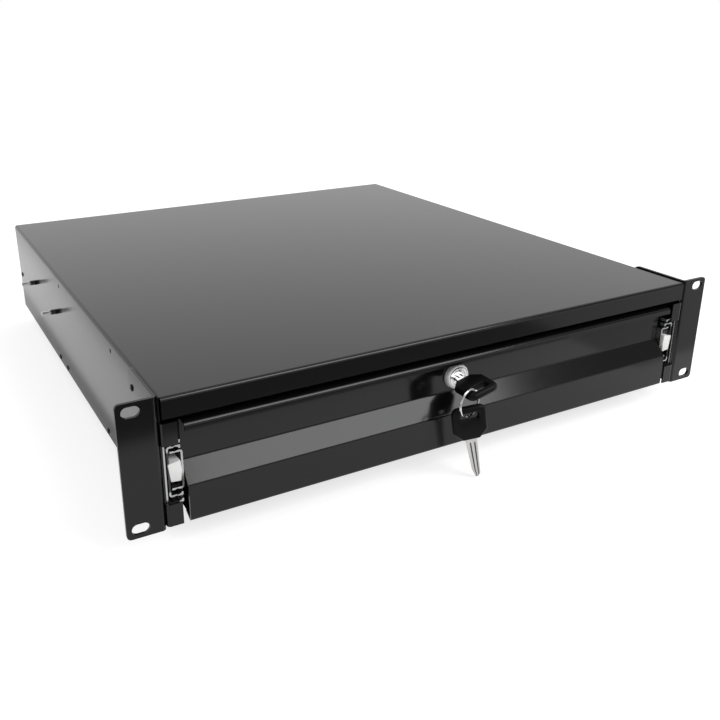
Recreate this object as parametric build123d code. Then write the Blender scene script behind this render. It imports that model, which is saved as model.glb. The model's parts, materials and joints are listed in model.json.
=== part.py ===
from build123d import *
import os
from math import cos, radians, sin, sqrt

# Sliding rack drawer, two units high. Millimetres, X to the right, Y into the rack, Z up.
# The origin is the centre of the four ear slots, on the face that meets the rack rails.

# Rack ears
ear_span = 482.6
ear_width = 24.6
ear_height = 88.1
ear_sheet = 2.0
ear_bend = 3.0
ear_corner = 3.0
ear_flange = 52.0
ear_flange_corner = 6.0
slot_inset = 8.75
slot_pitch_up = 76.2
slot_length = 11.0
slot_width = 7.0
ear_screw_rise = 31.4
ear_screw_inset = 6.0

# Folded case
case_depth = 462.2
case_above = 43.0
case_below = 42.1
case_proud = 1.0
case_sheet = 1.2
case_bend = 2.4
header_height = 13.6
header_inset = 1.7
post_width = 10.3
post_gap = 2.9
post_overlap = 1.4
spare_hole = 3.2
spare_hole_drop = 7.5
spare_hole_first = 102.0
spare_hole_inset = 201.6

# Rear panel, bottom ties and their rivets
rear_flange = 12.0
rear_rivet_drop = 6.6
rear_rivet_inset = 9.0
tie_flange = 9.0
tie_rivet_rise = 3.6
front_tie_width = 30.0
front_tie_place = 132.8
rear_tie_width = 60.0
rear_tie_inset = 185.2
rear_tie_pitch = 28.0
rivet_shank = 3.2
rivet_head = 4.6
rivet_height = 0.9

# Ball slides
slide_height = 42.0
slide_thickness = 12.7
slide_below = 7.75
slide_setback = 3.0
slide_end_gap = 2.0
slide_sheet = 1.2
slide_bend = 1.9
slide_lip = 1.0
slide_step = 1.0
slide_slot_length = 26.0
slide_slot_width = 10.0
outer_setback = 1.8
ball = 3.4
ball_gap = 2.8
ball_count = 4
race_clearance = 0.15
cage_sheet = 0.6
cage_clearance = 0.3
cage_margin = 5.0
travel = 400.0
bumper_height = 13.0
bumper_length = 14.0
bumper_bevel = 3.0
side_screw = 5.3
side_thread = 4.9
side_screw_point = 0.6
side_screw_reach = 12.0
side_screw_rise = 12.75
side_screw_inset = 81.5
side_screw_pitch = 93.3
front_rivet_place = 33.0
front_rivet = 5.0
inner_screw = 4.0
inner_screw_head = 6.6
inner_screw_first = 62.0
inner_screw_pitch = 140.0
inner_screw_inset = 46.2
inner_nut = 7.0
inner_nut_height = 3.2
lever_inset = 144.2
lever_length = 62.0
lever_height = 6.0
lever_pad = 9.0
lever_thickness = 3.0
lever_pin = 3.0
lever_pin_head = 5.0

# Drawer
tray_sheet = 1.0
tray_bend = 2.0
tray_hem = 6.0
tray_wall_flange = 10.0
tray_below_front = 0.7
tray_lift = 8.9
tray_rear_gap = 14.0
front_sheet = 1.2
front_bend = 2.0
front_proud = 1.0
front_recess = 10.5
front_lip = 5.0
front_gap = 4.7
front_foot = -0.8
front_side_gap = 0.4
lower_height = 26.1
slope_height = 12.4
foot_return = 9.0
foot_rise = 4.0
front_stud = 4.0
front_stud_rise = 12.0
front_stud_inset = 32.4
front_stud_pitch = 100.0
front_nut = 7.0
front_nut_height = 3.2

# Lock
lock_rise = 6.6
lock_face = 18.5
lock_face_height = 4.0
lock_groove_radius = 7.4
lock_groove = 0.6
barrel = 15.8
barrel_flat = 14.0
lock_fit = 0.1
lock_nut = 21.0
lock_nut_height = 4.0
plug = 11.0
plug_recess = 0.3
plug_wall = 1.2
tail = 7.0
tail_length = 2.4
cam_reach = 30.0
cam_width = 12.0
cam_hub = 16.8
cam_sheet = 2.0
cam_gap = 0.3
cam_screw = 4.0
cam_screw_head = 9.0
cam_screw_height = 2.4
cam_screw_depth = 6.0
strike_sheet = 1.5
strike_gap = 1.5
strike_drop = 13.3
strike_width = 40.0
strike_leg = 16.0
strike_rivet_inset = 9.6

# Keys and ring
key_tilt = 13.0
key_stand_off = 5.0
key_head_length = 25.0
key_head_width = 24.0
key_head_thickness = 5.0
key_shoulder = 6.0
key_corner = 5.0
key_edge = 1.2
key_slot_length = 13.0
key_slot_height = 6.0
key_slot_corner = 1.5
key_slot_edge = 4.2
blade_length = 31.0
blade_width = 8.0
blade_sheet = 2.0
blade_tang = 8.0
blade_tip = 3.0
blade_groove = 0.9
blade_groove_depth = 0.5
blade_fit = 0.2
ring_radius = 9.75
ring_wire = 1.5
ring_sides = 8
ring_turn = 15.0
ring_rest = 0.3
spare_turn = -20.0
spare_lean = 8.5

# Places that follow from the sizes
case_width = ear_span - 2 * ear_width
slot_pitch_across = ear_span - 2 * slot_inset
case_half = case_width / 2
case_front = -ear_sheet - case_proud
case_rear = case_front + case_depth
side_inner = case_half - case_sheet
top_inner = case_above - case_sheet
header_bottom = case_above - header_height
post_top = header_bottom - post_gap
front_tie_y = case_front + front_tie_place
rear_tie_y = case_rear - rear_tie_inset
slide_z = -slide_below
window_half = slide_height / 2 - post_overlap
slide_front = case_front + slide_setback
slide_rear = case_rear - rear_flange - slide_end_gap
outer_half = slide_height / 2
middle_half = outer_half - slide_sheet - ball_gap
inner_half = middle_half - slide_sheet - ball_gap
web_step = slide_sheet + cage_sheet + 2 * cage_clearance
middle_web = web_step
inner_lip = 2 * web_step
inner_web = slide_thickness - slide_sheet
outer_end = slide_thickness - outer_setback
middle_end = inner_web - cage_clearance
outer_ball = middle_half + ball_gap / 2
inner_ball = inner_half + ball_gap / 2
outer_track = (middle_web + middle_end) / 2
inner_track = (inner_lip + middle_end) / 2
race = ball / 2 + race_clearance
middle_front = slide_front + slide_step
inner_front = middle_front + slide_step
cage_front = middle_front + bumper_length + cage_margin + travel / 4
cage_length = slide_rear - 2 * slide_step - cage_margin - travel / 4 - cage_front
lever_pivot = case_rear - lever_inset
inner_screw_start = case_front + inner_screw_first
inner_screw_last = slide_rear - inner_screw_inset
inner_screw_places = (inner_screw_start, inner_screw_start + inner_screw_pitch, inner_screw_last)
tray_half = side_inner - slide_thickness
tray_inside = tray_half - tray_sheet
front_half = tray_half - front_side_gap
front_face = case_front - front_proud
recess_face = front_face + front_recess
front_top = header_bottom - front_gap
front_bottom = front_foot - case_below
slope_bottom = front_bottom + lower_height
slope_top = slope_bottom + slope_height
tray_front = recess_face + front_sheet
tray_rear = case_rear - rear_flange - tray_rear_gap
tray_top = front_top - tray_below_front
tray_floor = front_bottom + tray_lift
lock_front = recess_face - lock_face_height
way_end = lock_front - key_stand_off + blade_length + blade_fit
barrel_end = way_end + plug_wall + cam_screw_depth - tail_length
cam_front = barrel_end + cam_gap
strike_back = cam_front - strike_gap
front_stud_z = slope_top + front_stud_rise
front_stud_outer = front_half - front_stud_inset
front_stud_inner = front_stud_outer - front_stud_pitch
front_stud_places = (-front_stud_outer, -front_stud_inner, front_stud_inner, front_stud_outer)
key_slot_y = key_slot_edge + key_slot_height / 2 - key_head_length


def along_y(section, start, length):
    return extrude(Plane.XZ.offset(-start) * section, -length)


def along_x(section, start, length):
    return extrude(Plane.YZ.offset(start) * section, length)


def along_z(section, start, length):
    return extrude(Plane.XY.offset(start) * section, length)


def folded(points, sheet, radius, side):
    path = FilletPolyline(*points, radius=radius)
    return make_face(offset(path, amount=sheet, side=side, closed=True))


def rod_x(radius, start, end, y, z):
    return along_x(Pos(y, z) * Circle(radius), start, end - start)


def rod_y(radius, start, end, x, z):
    return along_y(Pos(x, z) * Circle(radius), start, end - start)


def both_sides(right):
    return [right, mirror(right, about=Plane.YZ)]


def joined(solids):
    return Compound(children=[solid for group in solids for solid in group.solids()])


# Rack ears: folded angles with rounded corners and slotted holes
def rack_ear():
    front = -ear_sheet
    points = [(ear_span / 2, front), (case_half, front), (case_half, front + ear_flange)]
    ear = along_z(folded(points, ear_sheet, ear_bend, Side.RIGHT), -ear_height / 2, ear_height)
    front_corners = ear.edges().filter_by(Axis.Y).group_by(Axis.X)[-1]
    ear = fillet(front_corners, ear_corner)
    rear_corners = ear.edges().filter_by(Axis.X).group_by(Axis.Y)[-1]
    ear = fillet(rear_corners, ear_flange_corner)
    slot = SlotOverall(slot_length, slot_width)
    for up in (-1, 1):
        place = Pos(slot_pitch_across / 2, up * slot_pitch_up / 2)
        ear -= along_y(place * slot, front - ear_sheet, 3 * ear_sheet)
    for y, z in ear_screw_places():
        ear -= rod_x(rivet_shank / 2 + lock_fit, case_half - ear_sheet, case_half + 2 * ear_sheet, y, z)
    return ear


def ear_screw_places():
    near = ear_bend + 2 * ear_screw_inset
    far = ear_flange - ear_sheet - ear_screw_inset
    return [(y, z) for y in (near, far) for z in (-ear_screw_rise, ear_screw_rise)]


def ear_screws():
    outside = case_half + ear_sheet
    screws = []
    for y, z in ear_screw_places():
        screws.append(headed_rod(outside, side_inner - case_sheet, y, z))
    return screws


# A bevelled head outside a wall, with its shank going in to the given depth
def headed_rod(outside, inside, y, z):
    head = rod_x(rivet_head / 2, outside, outside + rivet_height, y, z)
    head = chamfer(head.edges().group_by(Axis.X)[-1], rivet_height / 2)
    return head + rod_x(rivet_shank / 2, inside, outside, y, z)


# Case: one folded sheet with a header, and post tabs above and below the slide windows
def case_shell():
    body_front = case_front + case_bend
    points = [
        (-case_half, -case_below),
        (-case_half, case_above),
        (case_half, case_above),
        (case_half, -case_below),
    ]
    shell = along_y(folded(points, case_sheet, case_bend, Side.RIGHT), body_front, case_rear - body_front)
    header_points = [
        (case_front, header_bottom),
        (case_front, case_above),
        (case_front + 2 * case_bend, case_above),
    ]
    header = folded(header_points, case_sheet, case_bend, Side.RIGHT)
    header_half = case_half - header_inset
    shell += along_x(header, -header_half, 2 * header_half)
    tab_points = [
        (case_half - post_width, case_front),
        (case_half, case_front),
        (case_half, case_front + 2 * case_bend),
    ]
    tab = folded(tab_points, case_sheet, case_bend, Side.LEFT)
    tab_spans = [(-case_below, slide_z - window_half), (slide_z + window_half, post_top)]
    for low, high in tab_spans:
        for solid in both_sides(along_z(tab, low, high - low)):
            shell += solid
    for cut in case_holes():
        for solid in both_sides(cut):
            shell -= solid
    for x in strike_rivet_places():
        shell -= Pos(x, strike_rivet_y(), top_inner) * Cylinder(rivet_shank / 2 + lock_fit, 4 * case_sheet)
    return shell


def case_holes():
    shank = rivet_shank / 2 + lock_fit
    spare_z = case_above - spare_hole_drop
    spare_places = (case_front + spare_hole_first, case_rear - spare_hole_inset)
    holes = [(spare_hole / 2, y, spare_z) for y in spare_places]
    holes += [(shank, y, z) for y, z in ear_screw_places()]
    holes += [(shank, y, z) for y, z in rear_rivet_places() + tie_rivet_places()]
    holes += [(side_screw / 2 + lock_fit, y, z) for y, z in side_screw_places()]
    holes += [(front_rivet / 2 + lock_fit, front_rivet_y(), slide_z)]
    return [rod_x(r, side_inner - case_sheet, case_half + case_sheet, y, z) for r, y, z in holes]


# Rear panel: a shallow pan riveted between the case sides
def rear_panel():
    front = case_rear - rear_flange
    points = [
        (-side_inner, front),
        (-side_inner, case_rear),
        (side_inner, case_rear),
        (side_inner, front),
    ]
    low = -case_below
    panel = along_z(folded(points, case_sheet, case_bend, Side.RIGHT), low, case_above - case_bend - low)
    for y, z in rear_rivet_places():
        for hole in both_sides(rivet_hole(y, z)):
            panel -= hole
    return panel


def rear_rivet_places():
    return [(case_rear - rear_rivet_inset, -rear_rivet_drop)]


def rivet_hole(y, z):
    return rod_x(rivet_shank / 2 + lock_fit, side_inner - 2 * case_sheet, case_half, y, z)


def wall_rivets(places):
    inside = side_inner - 2 * case_sheet
    rivets = []
    for y, z in places:
        rivets += both_sides(headed_rod(case_half, inside, y, z))
    return rivets


# Bottom ties: flat bars with their ends turned up inside the case sides
def bottom_tie(centre, width):
    top = tie_flange - case_below
    points = [
        (-side_inner, top),
        (-side_inner, -case_below),
        (side_inner, -case_below),
        (side_inner, top),
    ]
    tie = along_y(folded(points, case_sheet, case_bend, Side.LEFT), centre - width / 2, width)
    for y, z in tie_rivet_places():
        for hole in both_sides(rivet_hole(y, z)):
            tie -= hole
    return tie


def tie_rivet_places():
    z = tie_rivet_rise - case_below
    half_pitch = rear_tie_pitch / 2
    return [(y, z) for y in (front_tie_y, rear_tie_y - half_pitch, rear_tie_y + half_pitch)]


# Slides are drawn on the right side: depth runs from the case side towards the drawer
def at(depth, rise):
    return (side_inner - depth, slide_z + rise)


def channel(web, end, half):
    points = [at(end, half), at(web, half), at(web, -half), at(end, -half)]
    side = Side.RIGHT if end > web else Side.LEFT
    return folded(points, slide_sheet, slide_bend, side)


def races(section, track, rise):
    for up in (-1, 1):
        section -= Pos(*at(track, up * rise)) * Circle(race)
    return section


def lips(section, end, half):
    for up in (-1, 1):
        centre = at(end - slide_sheet / 2, up * (half - slide_sheet - slide_lip / 2))
        section += Pos(*centre) * Rectangle(slide_sheet, slide_lip)
    return section


def outer_member():
    section = lips(channel(0, outer_end, outer_half), outer_end, outer_half)
    member = along_y(races(section, outer_track, outer_ball), slide_front, slide_rear - slide_front)
    for y, z in side_screw_places():
        member -= countersunk(side_screw, y, z, lock_fit)
    hole = front_rivet / 2 + lock_fit
    return member - rod_x(hole, side_inner - 2 * slide_sheet, side_inner, front_rivet_y(), slide_z)


def middle_member():
    section = lips(channel(middle_web, middle_end, middle_half), middle_end, middle_half)
    section = races(section, outer_track, outer_ball)
    section = races(section, inner_track, inner_ball)
    member = along_y(section, middle_front, slide_rear - middle_front - slide_step)
    slot = SlotOverall(slide_slot_length, slide_slot_width)
    web_inside = side_inner - middle_web - slide_sheet
    for y in inner_screw_places:
        member -= along_x(Pos(y, slide_z) * slot, web_inside, slide_sheet)
    return member


def inner_member():
    section = races(channel(slide_thickness, inner_lip, inner_half), inner_track, inner_ball)
    member = along_y(section, inner_front, slide_rear - inner_front - 2 * slide_step)
    for y in inner_screw_places:
        member -= inner_screw_shape(y, lock_fit)
    return member


# Ball cages: thin channels with a square window for each ball
def cage(web, end, rise, track):
    half = rise + cage_sheet / 2
    points = [at(end, half), at(web, half), at(web, -half), at(end, -half)]
    strip = along_y(folded(points, cage_sheet, 2 * cage_sheet, Side.RIGHT), cage_front, cage_length)
    for x, y, z in ball_places(track, rise):
        strip -= Pos(x, y, z) * Box(2 * race, 2 * race, 4 * cage_sheet)
    return strip


def ball_places(track, rise):
    spacing = cage_length / ball_count
    places = []
    for up in (-1, 1):
        x, z = at(track, up * rise)
        places += [(x, cage_front + spacing * (step + 0.5), z) for step in range(ball_count)]
    return places


# Balls have 26 flat faces with all corners on the ball, because true spheres would need many facets
def balls(track, rise):
    flat = ball / sqrt(5 + 2 * sqrt(2))
    width = flat * (1 + sqrt(2))
    block = Box(width, width, width)
    block = chamfer(block.edges(), (width - flat) / 2)
    return [Pos(*place) * block for place in ball_places(track, rise)]


# White stop on the middle member, bevelled where it meets the hand
def bumper():
    depth = inner_web - cage_clearance - middle_web - slide_sheet
    x, z = at(middle_web + slide_sheet + depth / 2, 0)
    block = along_y(Pos(x, z) * Rectangle(depth, bumper_height), middle_front, bumper_length)
    nose = block.faces().sort_by(Axis.Y)[0]
    outside_top = nose.edges().sort_by(Axis.Z)[-1]
    block = chamfer(outside_top, bumper_bevel)
    corner = block.edges().filter_by(Axis.Y).group_by(Axis.Z)[-1].sort_by(Axis.X)[-1]
    return chamfer(corner, bumper_bevel)


# Long countersunk screws that fix the outer member and stand out of the case side
def side_screw_places():
    z = slide_z + side_screw_rise
    last = case_rear - side_screw_inset
    return [(last - side_screw_pitch, z), (last, z)]


def countersunk(size, y, z, fit):
    radius = size / 2 + fit
    head = along_x_cone(radius + slide_sheet, radius, side_inner - slide_sheet, slide_sheet, y, z)
    return head + rod_x(radius, side_inner - slide_sheet / 2, side_inner + fit, y, z)


def along_x_cone(start_radius, end_radius, start, length, y, z):
    cone = Cone(start_radius, end_radius, length)
    return Pos(start + length / 2, y, z) * Rot(0, 90, 0) * cone


def side_screws():
    shank_end = case_half + lock_fit
    screws = []
    for y, z in side_screw_places():
        screw = countersunk(side_screw, y, z, 0)
        screw += rod_x(side_screw / 2, side_inner, shank_end, y, z)
        screw += rod_x(side_thread / 2, shank_end, case_half + side_screw_reach, y, z)
        screws.append(chamfer(screw.edges().group_by(Axis.X)[-1], side_screw_point))
    return screws


def front_rivet_y():
    return case_front + front_rivet_place


def front_rivet_solid():
    return rod_x(front_rivet / 2, side_inner - slide_sheet, case_half, front_rivet_y(), slide_z)


# Flush screws that hold the inner member to the drawer, with a nut inside the drawer
def inner_screw_shape(y, fit):
    start = side_inner - inner_web
    radius = inner_screw / 2 + fit
    head_radius = inner_screw_head / 2 + fit
    head = along_x_cone(radius, head_radius, start - slide_sheet, slide_sheet, y, slide_z)
    end = start - slide_sheet - tray_sheet - inner_nut_height - tray_sheet
    return head + rod_x(radius, end, start - slide_sheet / 2, y, slide_z)


def inner_screw_set():
    nut_start = tray_half - tray_sheet - inner_nut_height
    outline = RegularPolygon(inner_nut / 2, 6, major_radius=False)
    screws = []
    for y in inner_screw_places:
        nut = along_x(Pos(y, slide_z) * outline, nut_start, inner_nut_height)
        screws.append(inner_screw_shape(y, 0) + nut)
    return screws


# Release lever inside the inner member, turning on a headed pin
def release_lever():
    face = side_inner - inner_web + cage_clearance
    bar = SlotCenterToCenter(lever_length, lever_height)
    lever = along_x(Pos(lever_pivot - lever_length / 2, slide_z) * bar, face, lever_thickness)
    tip = lever_pivot - lever_length
    pad = Pos(tip, slide_z) * Rectangle(lever_height, lever_pad)
    lever += along_x(fillet(pad.vertices(), lever_height / 3), face, lever_thickness)
    bore = lever_pin / 2 + race_clearance
    return lever - rod_x(bore, face - lever_thickness, face + 2 * lever_thickness, lever_pivot, slide_z)


def lever_pivot_pin():
    web = side_inner - inner_web
    head = web + lever_thickness + 2 * cage_clearance
    shank = rod_x(lever_pin / 2, web, head, lever_pivot, slide_z)
    return shank + rod_x(lever_pin_head / 2, head, head + slide_sheet, lever_pivot, slide_z)


# Drawer tray: folded floor and sides with their tops turned in
def drawer_tray():
    length = tray_rear - tray_front
    points = [
        (-tray_half + tray_hem, tray_top),
        (-tray_half, tray_top),
        (-tray_half, tray_floor),
        (tray_half, tray_floor),
        (tray_half, tray_top),
        (tray_half - tray_hem, tray_top),
    ]
    tray = along_y(folded(points, tray_sheet, tray_bend, Side.LEFT), tray_front, length)
    for y in inner_screw_places:
        for cut in both_sides(inner_screw_shape(y, lock_fit)):
            tray -= cut
    return tray


# End walls stand between the tray sides, with a flange bent along each side
def tray_wall(outside, inward):
    flange_end = outside + inward * tray_wall_flange
    points = [
        (-tray_inside, flange_end),
        (-tray_inside, outside),
        (tray_inside, outside),
        (tray_inside, flange_end),
    ]
    side = Side.LEFT if inward > 0 else Side.RIGHT
    wall = along_z(folded(points, tray_sheet, tray_bend, side), tray_floor, tray_top - tray_floor)
    height = tray_top - tray_floor - 2 * tray_sheet
    room = RectangleRounded(2 * tray_inside, height, tray_bend - tray_sheet)
    return wall & along_y(Pos(0, (tray_top + tray_floor) / 2) * room, tray_front, tray_rear - tray_front)


def tray_front_wall():
    wall = tray_wall(tray_front, 1) - barrel_cut()
    hole = front_stud / 2 + lock_fit
    for x in front_stud_places:
        wall -= rod_y(hole, tray_front - tray_sheet, tray_front + 2 * tray_sheet, x, front_stud_z)
    return wall


# Drawer front: one sheet folded into a lip, a finger recess, a slope and a lower face
def drawer_front():
    inside_lip = front_face + front_sheet
    under_top = front_top - front_sheet
    points = [
        (inside_lip, front_top - front_lip),
        (inside_lip, under_top),
        (recess_face, under_top),
        (recess_face, slope_top),
        (front_face, slope_bottom),
        (front_face, front_bottom),
        (front_face + foot_return, front_bottom + foot_rise),
    ]
    front = along_x(folded(points, front_sheet, front_bend, Side.LEFT), -front_half, 2 * front_half)
    return front - barrel_cut()


def barrel_cut():
    outline = Circle(barrel / 2 + lock_fit) & Rectangle(barrel_flat + 2 * lock_fit, barrel + 2)
    turned = Pos(0, lock_rise) * Rot(0, 0, key_tilt) * outline
    return along_y(turned, recess_face - front_sheet, 2 * front_sheet + 2 * tray_sheet)


def front_studs():
    end = tray_front + tray_sheet + front_nut_height + tray_sheet
    return [rod_y(front_stud / 2, tray_front, end, x, front_stud_z) for x in front_stud_places]


def front_nuts():
    start = tray_front + tray_sheet
    outline = RegularPolygon(front_nut / 2, 6, major_radius=False) - Circle(front_stud / 2 + lock_fit)
    return [along_y(Pos(x, front_stud_z) * outline, start, front_nut_height) for x in front_stud_places]


# Lock pieces are made round the Y axis and turned with the key
def on_lock(shape):
    return Pos(0, 0, lock_rise) * Rot(0, -key_tilt, 0) * shape


def lock_body():
    bore = plug / 2 + lock_fit
    radius = lock_face / 2
    groove = lock_groove
    profile = Polyline(
        (bore, lock_front),
        (lock_groove_radius, lock_front),
        (lock_groove_radius, lock_front + groove),
        (lock_groove_radius + groove, lock_front + groove),
        (lock_groove_radius + groove, lock_front),
        (radius - groove, lock_front),
        (radius, lock_front + groove),
        (radius, recess_face),
        (bore, recess_face),
        close=True,
    )
    face = revolve(make_face(profile), Axis.Y)
    outline = Circle(barrel / 2) & Rectangle(barrel_flat, barrel)
    stem = along_y(outline - Circle(bore), recess_face, barrel_end - recess_face)
    return on_lock(face + stem)


def lock_nut_solid():
    start = tray_front + tray_sheet
    nut = along_y(RegularPolygon(lock_nut / 2, 6, major_radius=False), start, lock_nut_height)
    nut = chamfer(nut.edges().group_by(Axis.Y)[-1], lock_nut_height / 8)
    return on_lock(nut - rod_y(barrel / 2 + lock_fit, start - 1, start + 2 * lock_nut_height, 0, 0))


def lock_plug():
    front = lock_front + plug_recess
    core = rod_y(plug / 2, front, barrel_end, 0, 0)
    core += along_y(Rectangle(tail, tail), barrel_end, tail_length)
    way = Rectangle(blade_width + 2 * blade_fit, blade_sheet + 2 * blade_fit)
    core -= along_y(way, lock_front, way_end - lock_front)
    end = barrel_end + tail_length
    core -= rod_y(cam_screw / 2 + lock_fit, end - cam_screw_depth, end + 1, 0, 0)
    return on_lock(core)


def lock_cam():
    hub = Circle(cam_hub / 2)
    bar = Pos(-cam_reach / 2, 0) * Rectangle(cam_reach, cam_width)
    bar = fillet(bar.vertices().group_by(Axis.X)[0], cam_width / 4)
    plate = hub + bar - Rectangle(tail + 2 * lock_fit, tail + 2 * lock_fit)
    return on_lock(along_y(plate, cam_front, cam_sheet))


def cam_screw_solid():
    start = barrel_end + max(tail_length, cam_gap + cam_sheet)
    head = rod_y(cam_screw_head / 2, start, start + cam_screw_height, 0, 0)
    head = chamfer(head.edges().group_by(Axis.Y)[-1], cam_screw_height / 3)
    head -= along_y(Rectangle(cam_screw_head, cam_screw / 4), start + cam_screw_height / 2, cam_screw_height)
    bottom = barrel_end + tail_length - cam_screw_depth + blade_fit
    return on_lock(head + rod_y(cam_screw / 2, bottom, start, 0, 0))


# Strike: an angle riveted under the case top, in front of the turned-up cam
def lock_strike():
    points = [
        (strike_back, top_inner - strike_drop),
        (strike_back, top_inner),
        (strike_back - strike_leg, top_inner),
    ]
    section = folded(points, strike_sheet, 2 * strike_sheet, Side.LEFT)
    angle = along_x(section, -strike_width / 2, strike_width)
    for x in strike_rivet_places():
        angle -= Pos(x, strike_rivet_y(), top_inner) * Cylinder(rivet_shank / 2 + lock_fit, 4 * strike_sheet)
    return angle


def strike_rivet_places():
    return [-strike_width / 4, strike_width / 4]


def strike_rivet_y():
    return strike_back - strike_rivet_inset


# Flush on top, with a round head under the strike
def strike_rivets():
    low = top_inner - strike_sheet
    rivets = []
    for x in strike_rivet_places():
        shank = Cylinder(rivet_shank / 2, case_above - low, align=(Align.CENTER, Align.CENTER, Align.MIN))
        head = Cylinder(rivet_head / 2, rivet_height, align=(Align.CENTER, Align.CENTER, Align.MAX))
        rivets.append(Pos(x, strike_rivet_y(), low) * (shank + head))
    return rivets


# Keys are drawn pointing down the Y axis, with the head's back face at zero
def key_head():
    half = key_head_width / 2
    waist = half - key_shoulder
    outline = Polyline(
        (-waist, 0),
        (waist, 0),
        (half, -key_shoulder),
        (half, -key_head_length),
        (-half, -key_head_length),
        (-half, -key_shoulder),
        close=True,
    )
    face = make_face(outline)
    face = fillet(face.vertices().group_by(Axis.Y)[0], key_corner)
    head = extrude(face, key_head_thickness / 2, both=True)
    head = chamfer(head.edges().group_by(Axis.Z)[0] + head.edges().group_by(Axis.Z)[-1], key_edge)
    slot = Pos(0, key_slot_y) * RectangleRounded(key_slot_length, key_slot_height, key_slot_corner)
    head -= extrude(slot, key_head_thickness, both=True)
    pocket = Box(blade_width + 2 * lock_fit, blade_tang + lock_fit, blade_sheet + 2 * lock_fit)
    return head - Pos(0, -(blade_tang + lock_fit) / 2, 0) * pocket


def key_blade():
    half = blade_width / 2
    outline = Polyline(
        (-half, -blade_tang),
        (half, -blade_tang),
        (half, blade_length - blade_tip),
        (blade_tip / 2, blade_length),
        (-half, blade_length - 2 * blade_tip),
        close=True,
    )
    blade = extrude(make_face(outline), blade_sheet / 2, both=True)
    groove_length = blade_length - key_stand_off - blade_tip
    for x in (-half / 3, half / 2):
        for up in (-1, 1):
            groove = Box(blade_groove, groove_length, 2 * blade_groove_depth)
            blade -= Pos(x, blade_length - groove_length / 2, up * blade_sheet / 2) * groove
    return blade


def key_in_lock(shape):
    return on_lock(Pos(0, lock_front - key_stand_off, 0) * shape)


# The ring hangs on the left web of the key in the lock, through its slot
def ring_centre():
    tilt = radians(key_tilt)
    turn = radians(ring_turn)
    slot_end = key_slot_length / 2
    x = -(key_head_width / 2 + slot_end) / 2 * cos(tilt)
    corner_x = -slot_end * cos(tilt) - key_head_thickness / 2 * sin(tilt)
    corner_z = lock_rise - slot_end * sin(tilt) + key_head_thickness / 2 * cos(tilt)
    inside = ring_radius - ring_wire / 2 - ring_rest
    z = corner_z - sqrt(inside**2 - ((corner_x - x) / cos(turn)) ** 2)
    crossing = sqrt(ring_radius**2 - (lock_rise - z) ** 2)
    slot_y = lock_front - key_stand_off + key_slot_y
    return (x, slot_y - crossing * sin(turn), z)


def key_ring():
    wire = Pos(ring_radius, 0) * RegularPolygon(ring_wire / 2, ring_sides)
    return Pos(*ring_centre()) * Rot(0, 0, ring_turn) * revolve(wire, Axis.Y)


# The spare key hangs from the bottom of the ring, which climbs inside the head's thickness
def spare_place(shape):
    x, y, z = ring_centre()
    crossing = radians(ring_turn - spare_turn)
    reach = (key_head_thickness + ring_wire * cos(crossing)) / 2 / sin(crossing)
    rise = ring_radius - sqrt(ring_radius**2 - reach**2)
    lean_rise = reach * cos(crossing) * sin(radians(spare_lean))
    wire_y = key_slot_y - key_slot_height / 2 + ring_wire / 2 + ring_rest + rise + lean_rise
    hanging = Rot(0, 0, spare_turn) * Rot(0, -spare_lean, 0) * Rot(-90, 0, 0)
    return Pos(x, y, z - ring_radius) * hanging * Pos(0, -wire_y, 0) * shape


os.makedirs("parts", exist_ok=True)


def save(node, *solids):
    shape = joined(solids) if len(solids) > 1 else solids[0]
    export_step(shape, f"parts/{node}.step")


right_ear = rack_ear()
save("rack_ear_right", right_ear)
save("rack_ear_left", mirror(right_ear, about=Plane.YZ))
save("ear_screws", *[solid for screw in ear_screws() for solid in both_sides(screw)])
save("case_shell", case_shell())
save("rear_panel", rear_panel())
save("rear_rivets", *wall_rivets(rear_rivet_places()))
save("front_tie", bottom_tie(front_tie_y, front_tie_width))
save("rear_tie", bottom_tie(rear_tie_y, rear_tie_width))
save("tie_rivets", *wall_rivets(tie_rivet_places()))
save("lock_strike", lock_strike())
save("strike_rivets", *strike_rivets())
save("side_screws", *[solid for screw in side_screws() for solid in both_sides(screw)])
save("slide_front_rivets", *both_sides(front_rivet_solid()))

outer_cage = cage(slide_sheet + cage_clearance, outer_track + ball, outer_ball, outer_track)
inner_cage_end = inner_track + ball / 2 + 2 * cage_sheet
inner_cage = cage(web_step + slide_sheet + cage_clearance, inner_cage_end, inner_ball, inner_track)
slide_pieces = {
    "slide_outer": [outer_member()],
    "slide_middle": [middle_member()],
    "slide_inner": [inner_member()],
    "slide_bumper": [bumper()],
    "outer_cage": [outer_cage],
    "inner_cage": [inner_cage],
    "outer_balls": balls(outer_track, outer_ball),
    "inner_balls": balls(inner_track, inner_ball),
    "inner_screws": inner_screw_set(),
    "release_lever": [release_lever()],
    "lever_pin": [lever_pivot_pin()],
}
for piece, solids in slide_pieces.items():
    save(f"{piece}_right", *solids)
    save(f"{piece}_left", *[mirror(solid, about=Plane.YZ) for solid in solids])

save("drawer_tray", drawer_tray())
save("tray_front_wall", tray_front_wall())
save("tray_rear_wall", tray_wall(tray_rear, -1))
save("drawer_front", drawer_front())
save("front_studs", *front_studs())
save("front_nuts", *front_nuts())
save("lock_body", lock_body())
save("lock_nut", lock_nut_solid())
save("lock_plug", lock_plug())
save("lock_cam", lock_cam())
save("cam_screw", cam_screw_solid())
save("key_head", key_in_lock(key_head()))
save("key_blade", key_in_lock(key_blade()))
save("key_ring", key_ring())
save("spare_key_head", spare_place(key_head()))
save("spare_key_blade", spare_place(key_blade()))
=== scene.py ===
import json
import math
import bmesh
import bpy
from mathutils import Matrix, Vector
from mathutils.geometry import tessellate_polygon


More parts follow.
